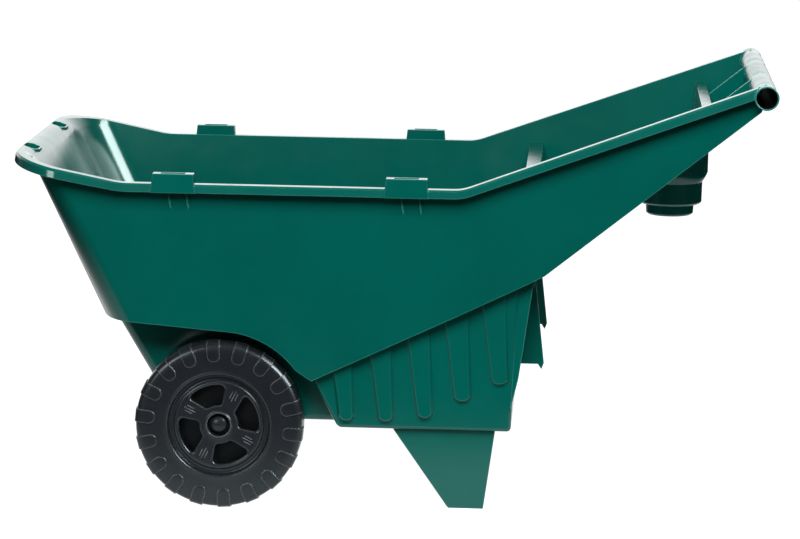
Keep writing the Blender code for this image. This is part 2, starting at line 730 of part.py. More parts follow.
def main():
    for old in list(bpy.data.objects):
        bpy.data.objects.remove(old)
    green = material("green_plastic", (0.004, 0.105, 0.082), 0.35)
    black = material("black_plastic", (0.016, 0.018, 0.021), 0.42)
    zinc = material("zinc_steel", (0.55, 0.55, 0.56), 0.30, 1.0)
    make_body(green)
    for side in RUN:
        make_leg(side, green)
        for index in range(len(BOLT_XS)):
            make_bolt(side, index, zinc)
            make_nut(side, index, zinc)
    make_running_gear(black, zinc)
    for made in bpy.data.objects:
        made.location.x += DATUM_X


main()
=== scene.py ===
"""Garden cart, visual model: a green moulded tub on two black wheels, in a white studio.

Metres, in the CAD model's frame. Dimensions below are drawn from the tub's datum, and each
finished piece is moved by DATUM_X, so that the origin is under the middle of the cart.
"""

from math import acos, cos, hypot, pi, radians, sin, sqrt

import bmesh
import bpy
from mathutils import Matrix, Vector


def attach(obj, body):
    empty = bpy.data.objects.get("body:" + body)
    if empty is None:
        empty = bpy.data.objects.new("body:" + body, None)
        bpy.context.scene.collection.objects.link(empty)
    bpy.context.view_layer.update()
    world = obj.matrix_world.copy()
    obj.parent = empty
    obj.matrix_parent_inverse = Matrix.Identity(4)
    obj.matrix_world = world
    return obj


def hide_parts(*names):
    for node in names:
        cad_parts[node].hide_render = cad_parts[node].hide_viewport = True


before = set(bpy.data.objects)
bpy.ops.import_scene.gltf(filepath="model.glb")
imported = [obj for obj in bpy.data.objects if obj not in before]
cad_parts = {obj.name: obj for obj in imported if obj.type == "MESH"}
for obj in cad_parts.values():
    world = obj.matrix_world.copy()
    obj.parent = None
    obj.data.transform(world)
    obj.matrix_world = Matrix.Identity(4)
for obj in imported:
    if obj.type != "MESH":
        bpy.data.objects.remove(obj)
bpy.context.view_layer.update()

# ---- dimensions, as in the CAD model ---------------------------------------------------

DATUM_X = -0.0045
WALL = 0.0035
FLAT_RIM_Z = 0.4925
FRONT_BEND_X, FRONT_SLOPE = -0.392, 0.20
REAR_BEND_X, REAR_SLOPE = 0.113, 0.366
RIM_HALF_WIDTH = 0.2855
SIDE_DRAFT = 0.09
REAR_TAPER = 0.0958
FLANGE_WIDTH = 0.020
SKIRT_DEPTH = 0.0130
LIP_X = -0.563
LIP_CORNER = (-0.485, 0.190)
LIP_ROLL = 0.035
LIP_SLOT_X, LIP_SLOT_Y, LIP_SLOT_HALVES = -0.5475, 0.136, (0.0215, 0.0105)
FRONT_WALL_FOOT = (-0.4285, 0.2873)
FRONT_WALL_LEAN = 0.4750
FLOOR_Z = 0.1215
REAR_WALL_X, REAR_WALL_LEAN = 0.190, 0.039
FLUTE_X, FLUTE_PITCH, FLUTE_FACE, FLUTE_ROUND = -0.0675, 0.0588, 0.2535, 0.0070
FLUTE_FEET = (0.1345, 0.1350, 0.1415, 0.1685, 0.1955)
FLUTE_WIDTHS = (0.0202, 0.0208, 0.0208, 0.0200, 0.0176)
AXLE_X, AXLE_Z, AXLE_RADIUS = -0.2455, 0.127, 0.00635
WHEEL_Y = 0.250
ARCH_CENTRE, ARCH_RADIUS = (-0.245, 0.1285), 0.139
LUGS, LUG_TURN = 18, 0.28        # the turn is a share of the lugs' pitch
SPOKE_TURN, WINDOW_TURN = 63, 18
CAP_RADIUS = 0.0130
HANDLE_X, HANDLE_Z = 0.554, 0.6355
HANDLE_RADIUS, HANDLE_BORE, HANDLE_HALF = 0.018, 0.0155, 0.285
RIDGE_TOP, RIDGE_REAR_X = 0.4925, 0.2235
BAND_FRONT_X, BAND_REAR_X, BAND_TOP = 0.466, 0.4825, 0.5995
RIB_Y, RIB_HALF = 0.0975, 0.0020
BRACKET_XS = (-0.3130, 0.0310)
CUP_X = 0.4235
CUP_TIERS = ((0.0365, 0.4220), (0.0490, 0.4395), (0.0575, 0.4740))     # radius, underside
CUP_CONE = (0.0075, 0.0150)     # how far the widest tier narrows at its foot: inwards, up
ARM_FOOT, ARM_END = (0.2364, 0.3626), (0.5480, 0.6120)
LEG_FACE, LEG_DEPTH = 0.235, 0.045
LEG_TOP, LEG_FOOT = (0.0127, 0.1666), (0.0977, 0.1505)
BOLT_XS, BOLT_Y, BOLT_HOLE = (0.065, 0.125), 0.213, 0.0033
GAP = 0.0003
LEG_GAP = 0.0010
FAR = 0.9
CORNER_STEPS = 14
BEND_SPAN = 0.012              # the rim's bends are rounded over twice this length
TAPER_SPAN = 0.024
FLOOR_GLOW = 1.0
SIDES = {-1: "near", 1: "far"}


# ---- materials -------------------------------------------------------------------------

class Shader:
    """A Principled material and short calls for adding nodes to it."""

    def __init__(self, name):
        self.material = bpy.data.materials.new(name)
        self.material.use_nodes = True
        self.tree = self.material.node_tree
        self.principled = self.tree.nodes["Principled BSDF"]

    def node(self, kind, **settings):
        made = self.tree.nodes.new(kind)
        for key, value in settings.items():
            if key.startswith("in_"):
                socket = key[3:].replace("_", " ")
                made.inputs[int(socket) if socket.isdigit() else socket].default_value = value
            else:
                setattr(made, key, value)
        return made

    def link(self, source, target):
        self.tree.links.new(source, target)

    def noise(self, scale, detail=3.0, rough=0.5, stretch=None):
        place = self.node("ShaderNodeTexCoord").outputs["Object"]
        if stretch:
            mapping = self.node("ShaderNodeMapping", in_Scale=stretch)
            self.link(place, mapping.inputs["Vector"])
            place = mapping.outputs["Vector"]
        made = self.node("ShaderNodeTexNoise", in_Scale=scale, in_Detail=detail, in_Roughness=rough)
        self.link(place, made.inputs["Vector"])
        return made.outputs["Fac"]

    def ramp(self, source, low, high, from_low=0.35, from_high=0.65):
        made = self.node("ShaderNodeMapRange")
        for socket, value in zip(("From Min", "From Max", "To Min", "To Max"),
                                 (from_low, from_high, low, high)):
            made.inputs[socket].default_value = value
        self.link(source, made.inputs["Value"])
        return made.outputs["Result"]

    def mixed(self, share, first, second):
        """A colour between two others, each a tuple or a socket."""
        made = self.node("ShaderNodeMix", data_type="RGBA")
        for index, value in ((6, first), (7, second)):
            if isinstance(value, tuple):
                made.inputs[index].default_value = (*value, 1)
            else:
                self.link(value, made.inputs[index])
        self.link(share, made.inputs[0])
        return made.outputs[2]

    def bump(self, height, distance, normal=None):
        made = self.node("ShaderNodeBump", in_Distance=distance, in_Strength=1.0)
        self.link(height, made.inputs["Height"])
        if normal is not None:
            self.link(normal, made.inputs["Normal"])
        return made.outputs["Normal"]

    def set(self, **values):
        for key, value in values.items():
            self.principled.inputs[key.replace("_", " ")].default_value = value


def moulded_plastic(name, dark, light, edge, roughness, tint, specular, grain, rounding,
                    reach=0.0018):
    """Satin moulded plastic: slight flow mottling, fine grain, soft and paler edges.

    Edges and walls thinner than the reach turn to the edge colour, a painted highlight for the
    light that rounded edges catch.
    """
    shader = Shader(name)
    shader.set(IOR=1.5, Specular_IOR_Level=specular, Specular_Tint=(*tint, 1))
    flow = shader.noise(5.0, 4.0, 0.55)
    fine = shader.noise(60.0, 3.0, 0.6)
    colour = shader.mixed(shader.ramp(flow, 0.0, 1.0), dark, light)
    speck = shader.mixed(shader.ramp(fine, 0.0, 0.06, 0.52, 0.72), colour,
                         tuple(1.25 * c + 0.004 for c in light))
    # Painted highlight: an inside ambient-occlusion probe finds edges and thin walls, and the mix
    # below turns them to the pale edge colour.
    inside = shader.node("ShaderNodeAmbientOcclusion", samples=6, inside=True, in_Distance=reach)
    highlight_share = shader.ramp(inside.outputs["AO"], 1.0, 0.0, 0.45, 0.92)
    shader.link(shader.mixed(highlight_share, speck, edge), shader.principled.inputs["Base Color"])
    rough = shader.ramp(shader.noise(22.0, 5.0, 0.6), roughness - 0.03, roughness + 0.04)
    shader.link(rough, shader.principled.inputs["Roughness"])
    bevel = shader.node("ShaderNodeBevel", samples=4, in_Radius=rounding)
    ripple = shader.bump(shader.noise(14.0, 2.0, 0.4), 0.00008, bevel.outputs["Normal"])
    normal = shader.bump(shader.noise(900.0, 2.0, 0.5), grain, ripple)
    shader.link(normal, shader.principled.inputs["Normal"])
    return shader.material


def plated_steel(name):
    shader = Shader(name)
    shader.set(Metallic=1.0)
    streaks = shader.noise(240.0, 3.0, 0.6, (1.0, 0.05, 1.0))
    colour = shader.mixed(shader.ramp(streaks, 0.0, 1.0), (0.42, 0.42, 0.43), (0.66, 0.66, 0.67))
    shader.link(colour, shader.principled.inputs["Base Color"])
    rough = shader.ramp(shader.noise(90.0, 4.0, 0.6), 0.24, 0.42)
    shader.link(rough, shader.principled.inputs["Roughness"])
    shader.link(shader.bump(streaks, 0.00003), shader.principled.inputs["Normal"])
    return shader.material


# Dark and light mottling tones, then the paler edge colour, which is a painted highlight.
GREEN = (0.0, 0.070, 0.055), (0.0, 0.079, 0.063), (0.030, 0.230, 0.205)
green = moulded_plastic("green_polyethylene", *GREEN, 0.18, (0.86, 1.0, 0.98), 0.40,
                        0.000008, 0.0011)
grip = moulded_plastic("green_polyethylene_grip", *GREEN, 0.26, (0.80, 1.0, 0.98), 0.40,
                       0.000080, 0.0011)
# The third colour of each black plastic below is a painted highlight along its edges.
black = moulded_plastic("black_plastic", (0.0065, 0.0075, 0.0092), (0.0090, 0.0103, 0.0127),
                        (0.120, 0.127, 0.135), 0.27, (0.8, 0.95, 1.0), 0.45, 0.000010, 0.0008,
                        reach=0.0024)
domed = moulded_plastic("black_plastic_cap", (0.0060, 0.0070, 0.0085), (0.0090, 0.0103, 0.0127),
                        (0.014, 0.016, 0.019), 0.32, (0.8, 0.95, 1.0), 0.35, 0.000010, 0.0008)
# Painted shade: a near-black matt material for the wheel pockets and the handle's bore, darker than
# the black plastic itself.
painted_shade = moulded_plastic("black_painted_shade", (0.0010, 0.0010, 0.0012), (0.0016, 0.0017, 0.0020),
                         (0.004, 0.004, 0.005), 0.55, (0.8, 0.95, 1.0), 0.20, 0.000010, 0.0008)
steel = plated_steel("zinc_plated_steel")


# ---- mesh helpers ----------------------------------------------------------------------

def object_from(bm, name):
    bmesh.ops.recalc_face_normals(bm, faces=bm.faces)
    mesh = bpy.data.meshes.new(name)
    bm.to_mesh(mesh)
    bm.free()
    made = bpy.data.objects.new(name, mesh)
    bpy.context.scene.collection.objects.link(made)
    return made


def loft(rings, name="solid", closed_path=False):
    """A closed solid through rings of points that have the same count."""
    bm = bmesh.new()
    loops = [[bm.verts.new(point) for point in ring] for ring in rings]
    count = len(loops[0])
    pairs = list(zip(loops, loops[1:]))
    if closed_path:
        pairs.append((loops[-1], loops[0]))
    for low, high in pairs:
        for k in range(count):
            bm.faces.new((low[k], low[(k + 1) % count], high[(k + 1) % count], high[k]))
    if not closed_path:
        bm.faces.new(loops[0])
        bm.faces.new(loops[-1])
    return object_from(bm, name)


def prism(profile, low, high, axis="Y", name="prism"):
    place = {
        "X": lambda a, b, c: (c, a, b),
        "Y": lambda a, b, c: (a, c, b),
        "Z": lambda a, b, c: (a, b, c),
    }[axis]
    return loft([[place(a, b, level) for a, b in profile] for level in (low, high)], name)


def box(low, high):
    (x0, y0, z0), (x1, y1, z1) = low, high
    return prism([(x0, y0), (x1, y0), (x1, y1), (x0, y1)], z0, z1, "Z")


def circle(centre, radius, count=48):
    return [(centre[0] + radius * cos(2 * pi * k / count),
             centre[1] + radius * sin(2 * pi * k / count)) for k in range(count)]


def rod(centre, radius, low, high, axis="Y", count=48):
    return prism(circle(centre, radius, count), low, high, axis)


def turned(profile, centre, name, count=96):
    """A ring turned about a line along Y: profile holds (radius, y) pairs."""
    x, z = centre
    rings = [[(x + r * cos(a), y, z + r * sin(a)) for r, y in profile]
             for a in (2 * pi * k / count for k in range(count))]
    return loft(rings, name, closed_path=True)


def bake(target):
    graph = bpy.context.evaluated_depsgraph_get()
    mesh = bpy.data.meshes.new_from_object(target.evaluated_get(graph))
    target.modifiers.clear()
    old, target.data = target.data, mesh
    bpy.data.meshes.remove(old)


def joined(parts):
    """One object that holds the meshes of several that don't touch each other."""
    bm = bmesh.new()
    for part in parts:
        bm.from_mesh(part.data)
        bpy.data.objects.remove(part)
    return object_from(bm, "joined")


def combine(target, others, operation):
    for other in others:
        step = target.modifiers.new("step", "BOOLEAN")
        step.operation = operation
        step.object = other
        bake(target)
        bpy.data.objects.remove(other)
    return target


def union(target, *others):
    return combine(target, others, "UNION")


def cut(target, *others):
    return combine(target, others, "DIFFERENCE")


def common(target, *others):
    return combine(target, others, "INTERSECT")


def soften(target, width, steps=3, chosen=None, merge=radians(0.3)):
    """Rounds a solid's edges, or those that chosen(edge) picks."""
    bm = bmesh.new()
    bm.from_mesh(target.data)
    bmesh.ops.dissolve_limit(bm, angle_limit=merge, verts=bm.verts, edges=bm.edges)
    edges = [edge for edge in bm.edges
             if len(edge.link_faces) == 2 and edge.calc_face_angle() > radians(28)
             and (chosen is None or chosen(edge))]
    bmesh.ops.bevel(bm, geom=edges, offset=width, segments=steps, profile=0.5,
                    affect="EDGES", clamp_overlap=True)
    bm.to_mesh(target.data)
    bm.free()
    return target


def round_foot(target, width, steps=4):
    """Rounds the edges where a solid's walls meet its underside."""
    def at_foot(edge):
        lows = sorted(face.normal.z for face in edge.link_faces)
        return lows[0] < -0.5 < lows[1] < 0.5
    return soften(target, width, steps, at_foot)


def finished(target, name, material, body, nodes, sharp=32.0, inner=None):
    """Names a piece, moves it to its place, and says what it rides on and replaces.

    inner(x, y, z) picks the faces that get the near-black painted-shade material.
    """
    target.name = target.data.name = name
    target.data.materials.clear()
    target.data.materials.append(material)
    target.data.materials.append(painted_shade)
    for face in target.data.polygons:
        face.material_index = int(inner is not None and inner(*face.center))
    target.data.transform(Matrix.Translation((DATUM_X, 0, 0)))
    target.data.shade_smooth()
    target.data.set_sharp_from_angle(angle=radians(sharp))
    weighted = target.modifiers.new("weighted", "WEIGHTED_NORMAL")
    weighted.keep_sharp = True
    weighted.weight = 80
    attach(target, body)
    if nodes:
        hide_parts(*nodes)
    return target


# ---- the tub's lines -------------------------------------------------------------------

def eased(distance, span):
    """max(0, distance), rounded over the span on each side of zero."""
    if distance <= -span:
        return 0.0
    return distance if distance >= span else (distance + span) ** 2 / (4 * span)


def rim_z(x):
    return (FLAT_RIM_Z + FRONT_SLOPE * eased(FRONT_BEND_X - x, BEND_SPAN)
            + REAR_SLOPE * eased(x - REAR_BEND_X, BEND_SPAN))


RIM_XS = sorted({bend + BEND_SPAN * k / 4 for bend in (FRONT_BEND_X, REAR_BEND_X)
                 for k in range(-4, 5)}, reverse=True)


def half_width(x, z):
    taper = REAR_TAPER * eased(x - REAR_BEND_X, TAPER_SPAN)
    return RIM_HALF_WIDTH - taper - SIDE_DRAFT * (FLAT_RIM_Z - z)


def front_line(z):
    return FRONT_WALL_FOOT[0] - FRONT_WALL_LEAN * (z - FRONT_WALL_FOOT[1])


def rear_line(z):
    return REAR_WALL_X + REAR_WALL_LEAN * (z - FLOOR_Z)


def arm_line(x):
    slope = (ARM_END[1] - ARM_FOOT[1]) / (ARM_END[0] - ARM_FOOT[0])
    return ARM_FOOT[1] + slope * (x - ARM_FOOT[0])


def front_depth(inset):
    return inset * sqrt(1 + FRONT_WALL_LEAN ** 2)


def roll_centre():
    """Centre of the arc that is tangent to the lip's top and the wall's inner face."""
    lip = (FRONT_SLOPE / hypot(1, FRONT_SLOPE), 1 / hypot(1, FRONT_SLOPE))
    lean = hypot(1, FRONT_WALL_LEAN)
    wall = (1 / lean, FRONT_WALL_LEAN / lean)
    a = (front_line(0) + front_depth(WALL)
         - LIP_ROLL * (wall[0] + FRONT_WALL_LEAN * wall[1]))
    b = FLAT_RIM_Z + FRONT_SLOPE * FRONT_BEND_X - LIP_ROLL * (lip[1] + FRONT_SLOPE * lip[0])
    x = (a - FRONT_WALL_LEAN * b) / (1 - FRONT_WALL_LEAN * FRONT_SLOPE)
    return x, b - FRONT_SLOPE * x, lip, wall


def front_crossing(z, inset):
    x, centre_z, lip, wall = roll_centre()
    radius = LIP_ROLL - (WALL - inset)
    if z <= centre_z + radius * wall[1]:
        return front_line(z) + front_depth(inset)
    height = min(z - centre_z, radius * lip[1])
    return x + radius * sin(acos(height / radius))


def plan_loop(z, inset):
    """Outline of the upper tub at one height, inset from its outer face."""
    front = front_crossing(z, inset)
    middle = front_line(z) + front_depth(inset) + 0.050
    round_y = 0.065 + 0.035 * min(1.0, max(0.0, (z - 0.27) / 0.24))
    ease = WALL - inset

    def side(x):
        return half_width(x, z) + ease

    near = [(x, side(x)) for x in
            [0.60] + [REAR_BEND_X + TAPER_SPAN * k / 3 for k in (3, 2, 1, 0, -1, -2, -3)]]
    for k in range(CORNER_STEPS + 1):
        angle = pi / 2 * k / CORNER_STEPS
        near.append((middle - (middle - front) * sin(angle),
                     side(middle) - round_y * (1 - cos(angle))))
    return [(x, -y, z) for x, y in near] + [(x, y, z) for x, y in reversed(near)]


def arch(inset, steps=20):
    turn = [radians(88 - 52 * k / steps) for k in range(steps + 1)]
    radius = ARCH_RADIUS + inset
    return [(ARCH_CENTRE[0] + radius * cos(a), ARCH_CENTRE[1] + radius * sin(a)) for a in turn]


def upper_profile(inset):
    """Side view of the upper tub's underside, from the front backwards."""
    lift = inset * 1.08
    return ([(-0.70, 0.3020 + lift), (-0.375, 0.2783 + lift)] + arch(inset)
            + [(-0.1087, 0.1944 + inset * 1.2), (0.2145, 0.3510 + lift)])


def cornered(front, rear, side, corner, z):
    """A rectangle with rounded corners, symmetric about the XZ plane."""
    near = []
    for middle, turn in ((rear - corner, 1), (front + corner, -1)):
        for k in range(7):
            a = pi / 2 * (k / 6 if turn < 0 else 1 - k / 6)
            near.append((middle + turn * corner * sin(a), side - corner * (1 - cos(a))))
    return [(x, -y, z) for x, y in near] + [(x, y, z) for x, y in reversed(near)]


def footed(outline, top, corner, foot, base, inset=0.0, steps=5):
    """A tub with upright walls, rounded corners and a rounded foot."""
    def ring(z, ease):
        front, rear, side = outline(z, inset)
        return cornered(front + ease, rear - ease, side - ease, max(corner - ease, 0.0004), z)

    rings = []
    for k in range(steps + 1):
        a = pi / 2 * k / steps
        rings.append(ring(base + foot * (1 - cos(a)), foot * (1 - sin(a))))
    return loft(rings + [ring(top, 0.0)])


def lower_outline(z, inset):
    front = -0.3180 - 0.590 * (z - FLOOR_Z) + inset * 1.16
    return front, 0.150, 0.198 + 0.048 * (z - FLOOR_Z) - inset


def box_outline(z, inset):
    front = -0.0693 - 0.54 * (z - FLOOR_Z) + inset * 1.14
    return front, rear_line(z) - inset, 0.246 + 0.0248 * (z - FLOOR_Z) - inset


# ---- the body --------------------------------------------------------------------------

def upper_levels(inset):
    _, z, lip, wall = roll_centre()
    radius = LIP_ROLL - (WALL - inset)
    steps = 10
    roll = [z + radius * (wall[1] + (lip[1] - wall[1]) * sin(pi / 2 * k / steps))
            for k in range(steps + 1)]
    return [0.15] + roll + [0.80]


def upper_shape(inset, floor, name):
    shape = loft([plan_loop(z, inset) for z in upper_levels(inset)], name)
    return common(shape, prism(floor, -FAR, FAR, "Y"))


def flutes(inset, rounding):
    """Raised ribs down the side of the flute box, or their hollows."""
    datum, lean_left, lean_right = 0.1535, 0.142, 0.040     # the edges' slopes, from this height
    root, root_depth = 0.0065, 0.010                        # how the sides spread into the wall
    made = []
    for side in SIDES:
        for k, (foot, width) in enumerate(zip(FLUTE_FEET, FLUTE_WIDTHS)):
            left = FLUTE_X + FLUTE_PITCH * k
            top = 0.2345 + 0.0285 * k
            start = foot + FLUTE_ROUND

            def outline(grow, y):
                def edge(z):
                    return (left - lean_left * (z - datum) + inset - grow,
                            left + width - lean_right * (z - datum) - inset + grow)

                low, high = edge(start)
                middle, half = (low + high) / 2, (high - low) / 2
                radius = FLUTE_ROUND - inset + grow * 0.6
                points = [(edge(top)[1], top), (edge(top)[0], top)]
                points += [(middle - half * cos(pi * j / 16), start - radius * sin(pi * j / 16))
                           for j in range(17)]
                return [(x, side * y, z) for x, z in points]

            face = FLUTE_FACE - inset
            rings = [outline(rounding * (share - 1), face - rounding * drop)
                     for share, drop in ((0.0, 0.0), (0.45, 0.06), (0.80, 0.25), (1.0, 0.55))]
            made.append(loft(rings + [outline(root, face - root_depth)]))
    return joined(made)


def cup_solid(inset, top):
    """The stepped cup holder, turned about its upright axis."""
    profile = []
    for (radius, underside), above in zip(CUP_TIERS, [t[1] for t in CUP_TIERS[1:]] + [top]):
        r = radius - inset
        low = underside + inset
        across, up = (0.0030, 0.0030) if radius < CUP_TIERS[-1][0] else CUP_CONE
        profile += [(r - across, low), (r - across * 0.42, low + up * 0.48), (r, low + up)]
        profile.append((r + 0.0006, above + inset - 0.0004))
    rings = [[(CUP_X + r * cos(a), r * sin(a), z) for a in (2 * pi * k / 64 for k in range(64))]
             for r, z in profile]
    return loft(rings, "cup")


def flange():
    """The rim all round: a flat flange whose outer edge rolls down into a skirt."""
    xs = [0.541] + RIM_XS
    inner, outer = [], []
    for x in xs:
        y = half_width(x, rim_z(x))
        inner.append((x, y - 0.010))
        outer.append((x, y + FLANGE_WIDTH))
    for x, reach in ((-0.420, 0.010), (-0.444, 0.0125)):
        y = half_width(x, rim_z(x))
        inner.append((x, y - reach))
        outer.append((x, y + FLANGE_WIDTH))
    side = half_width(LIP_CORNER[0], rim_z(LIP_CORNER[0])) + FLANGE_WIDTH
    for k in range(CORNER_STEPS + 1):
        angle = pi / 2 * k / CORNER_STEPS
        outer.append((LIP_CORNER[0] - (LIP_CORNER[0] - LIP_X) * sin(angle),
                      side - (side - LIP_CORNER[1]) * (1 - cos(angle))))
        inner.append((LIP_CORNER[0] + 0.02 - 0.050 * sin(angle),
                      side - 0.035 - (side - LIP_CORNER[1]) * 0.8 * (1 - cos(angle))))
    sections = []
    for mirror in (-1, 1):
        run = []
        for (ix, iy), (ox, oy) in zip(inner, outer):
            reach = hypot(ox - ix, oy - iy)
            ux, uy = (ox - ix) / reach, (oy - iy) / reach
            away = min(1.0, max(0.0, max(ix - REAR_BEND_X, FRONT_BEND_X - ix) / 0.10))
            drop = SKIRT_DEPTH + 0.0025 * away
            step = 0.0015 * min(1.0, max(0.0, (-0.43 - ox) / 0.07))
            shape = [(-reach, 0.010), (-0.0050, 0.010), (-0.0044, -0.0002 - 0.5 * step),
                     (-0.0040, -0.0003 - step), (-0.0032, -0.0005 - step),
                     (-0.0024, -0.0011 - step), (-0.0018, -0.0021 - step),
                     (-0.0015, -0.0035 - step), (0.0, -drop + 0.0009), (-0.0004, -drop + 0.0002),
                     (-0.0012, -drop), (-0.0034, -drop + 0.0002), (-0.0042, -drop + 0.0009),
                     (-0.0044, -WALL - 0.0030), (-0.0054, -WALL - 0.0010),
                     (-0.0070, -WALL), (-reach, -WALL)]
            run.append([(ox + ux * u, mirror * (oy + uy * u), rim_z(ox + ux * u) + v)
                        for u, v in shape])
        sections.append(run)
    return loft(sections[0] + sections[1][::-1], "flange")


def rim_trim():
    """Everything above the rim's line."""
    line = [(x, rim_z(x)) for x in [-0.75] + RIM_XS[::-1] + [0.75]]
    return prism(line + [(0.75, 1.1), (-0.75, 1.1)], -FAR, FAR, "Y")


def outer_shape():
    floor = upper_profile(0.0) + [ARM_FOOT, ARM_END, (HANDLE_X, 0.6285), (HANDLE_X, 0.82),
                                  (-0.70, 0.82)]
    body = round_foot(upper_shape(0.0, floor, "body"), 0.0050, 5)
    lower = footed(lower_outline, 0.3035, 0.018, 0.010, FLOOR_Z)
    wide = footed(box_outline, 0.3500, 0.0065, 0.0060, FLOOR_Z)
    union(body, lower, wide, flutes(0.0, 0.0024))
    cup = common(cup_solid(0.0, 0.60),
                 prism([(0.30, 0.30), (0.56, 0.30), (0.56, arm_line(0.56) + 0.003),
                        (0.30, arm_line(0.30) + 0.003)], -0.2, 0.2, "Y"))
    return union(body, cup)


def hollow():
    """The space inside the walls: tub, tool tray, and the gap in front of the handle."""
    tray = WALL * 1.28
    ridge_foot = RIDGE_REAR_X + 0.006
    soft = 0.0015
    floor = upper_profile(WALL)[:-1]
    wall_foot = 0.3440
    floor += [(rear_line(wall_foot) - WALL, wall_foot),
              (rear_line(RIDGE_TOP) - WALL, RIDGE_TOP - soft),
              (rear_line(RIDGE_TOP) - WALL + 0.3 * soft, RIDGE_TOP - 0.3 * soft),
              (rear_line(RIDGE_TOP) - WALL + soft, RIDGE_TOP),
              (RIDGE_REAR_X - soft, RIDGE_TOP),
              (RIDGE_REAR_X - 0.3 * soft, RIDGE_TOP - 0.3 * soft),
              (RIDGE_REAR_X, RIDGE_TOP - soft),
              (ridge_foot, 0.3635), (ARM_FOOT[0], ARM_FOOT[1] + tray),
              (BAND_FRONT_X, arm_line(BAND_FRONT_X) + tray), (BAND_FRONT_X, BAND_TOP - soft),
              (BAND_FRONT_X + 0.3 * soft, BAND_TOP - 0.3 * soft),
              (BAND_FRONT_X + soft, BAND_TOP), (BAND_REAR_X - soft, BAND_TOP),
              (BAND_REAR_X - 0.3 * soft, BAND_TOP - 0.3 * soft),
              (BAND_REAR_X, BAND_TOP - soft), (BAND_REAR_X, 0.10), (0.61, 0.10),
              (0.61, 0.82), (-0.70, 0.82)]
    space = round_foot(upper_shape(WALL, floor, "hollow"), 0.0035)
    lower = footed(lower_outline, 0.3025, 0.0145, 0.008, FLOOR_Z + WALL, WALL)
    wide = footed(box_outline, 0.3490, 0.0040, 0.0035, FLOOR_Z + WALL, WALL)
    return union(space, lower, wide, flutes(WALL, 0.0012))


def brackets():
    """Two hollow tool brackets on each side of the rim, with a slot through each."""
    solids, slots = [], []
    for side in SIDES:
        for middle in BRACKET_XS:
            inner = half_width(middle, FLAT_RIM_Z)
            faces = sorted((side * (inner + 0.0008), side * (inner + FLANGE_WIDTH + 0.0006)))
            foot = FLAT_RIM_Z - SKIRT_DEPTH - 0.0004
            outline = [(middle - 0.033, foot), (middle + 0.033, foot),
                       (middle + 0.0305, FLAT_RIM_Z + 0.0155),
                       (middle - 0.0300, FLAT_RIM_Z + 0.0155)]
            solids.append(soften(prism(outline, *faces, "Y"), 0.0010, 3))
            low, high = sorted((side * (inner + 0.0042), side * (inner + 0.0174)))
            slots.append(box((middle - 0.0180, low, foot - 0.02),
                             (middle + 0.0180, high, FLAT_RIM_Z + 0.05)))
            relief = sorted((side * (inner + WALL + 0.001),
                             side * (inner + FLANGE_WIDTH - 0.0026)))
            slots.append(box((middle - 0.0295, relief[0], foot - 0.02),
                             (middle + 0.0295, relief[1], FLAT_RIM_Z + 0.0125)))
    return solids, slots


def gussets():
    """Two small webs under the rim at each bracket."""
    foot, top, thickness, lean = 0.4505, 0.4905, 0.0025, 0.12
    made = []
    for side in SIDES:
        for middle in BRACKET_XS:
            for x in (middle - 0.0090, middle + 0.0175):
                wall = half_width(x, foot) + WALL - 0.0015
                out = half_width(x, FLAT_RIM_Z) + FLANGE_WIDTH - 0.0015
                outline = [(wall, foot), (out, 0.4800), (out, top), (wall, top)]
                made.append(loft([
                    [(x + across + lean * (top - z), side * y, z) for y, z in outline]
                    for across in (-thickness / 2, thickness / 2)]))
    return joined(made)


def lip_slots(grow, down, up):
    """The hand slots through the front lip, or the collars round them."""
    made = []
    for side in SIDES:
        x, y, half, radius = LIP_SLOT_X, side * LIP_SLOT_Y, *LIP_SLOT_HALVES
        rings = []
        for rise, grown in ((down, grow), (up, grow)):
            r = radius + grown
            ring = []
            for j in (1, -1):
                for k in range(13):
                    turn = pi * (k / 12 + (0 if j > 0 else 1))
                    px = x + r * cos(turn)
                    py = y + j * (half - radius) + r * sin(turn)
                    ring.append((px, py, rim_z(px) + rise))
            rings.append(ring)
        made.append(loft(rings))
    return joined(made)


def cores():
    """Hollows of the ridge and the band, open underneath."""
    low, high = 0.3035, RIDGE_TOP - WALL
    ridge = [(rear_line(low) + 0.0001, low), (RIDGE_REAR_X + 0.006, low),
             (RIDGE_REAR_X + 0.0028, 0.3595), (RIDGE_REAR_X - WALL, high), (rear_line(high), high)]
    side = half_width(0.21, 0.40) - 0.012
    top = BAND_TOP - 0.003
    band = [(BAND_FRONT_X + 0.003, 0.480), (BAND_REAR_X - 0.003, 0.480),
            (BAND_REAR_X - 0.003, top), (BAND_FRONT_X + 0.003, top)]
    width = half_width(BAND_FRONT_X, BAND_TOP) - 0.010
    beside_cup = CUP_TIERS[-1][0] + 0.003
    return [prism(ridge, -side, side, "Y"),
            prism(band, -width, -beside_cup, "Y"), prism(band, beside_cup, width, "Y")]


def fins():
    """Upright plates behind the rear wall, under the tray."""
    made = []
    edge = [(0.1885, 0.1535), (rear_line(0.20) + 0.007, 0.2035), (0.2185, 0.3385),
            (0.2240, 0.3570), (0.1975, 0.3485)]
    plate = [(0.1925, 0.2125), (0.2277, 0.2125), (0.2330, 0.2045), (0.2367, 0.2139),
             (0.2225, 0.3335), (0.2225, 0.3735), (0.2010, 0.4235), (0.1985, 0.4235)]
    for side in SIDES:
        outer = sorted((side * 0.2478, side * 0.2448))
        made.append(soften(prism(edge, *outer, "Y"), 0.0005, 2))
        inner = sorted((side * 0.1720, side * 0.1690))
        made.append(soften(prism(plate, *inner, "Y"), 0.0005, 2))
    return made


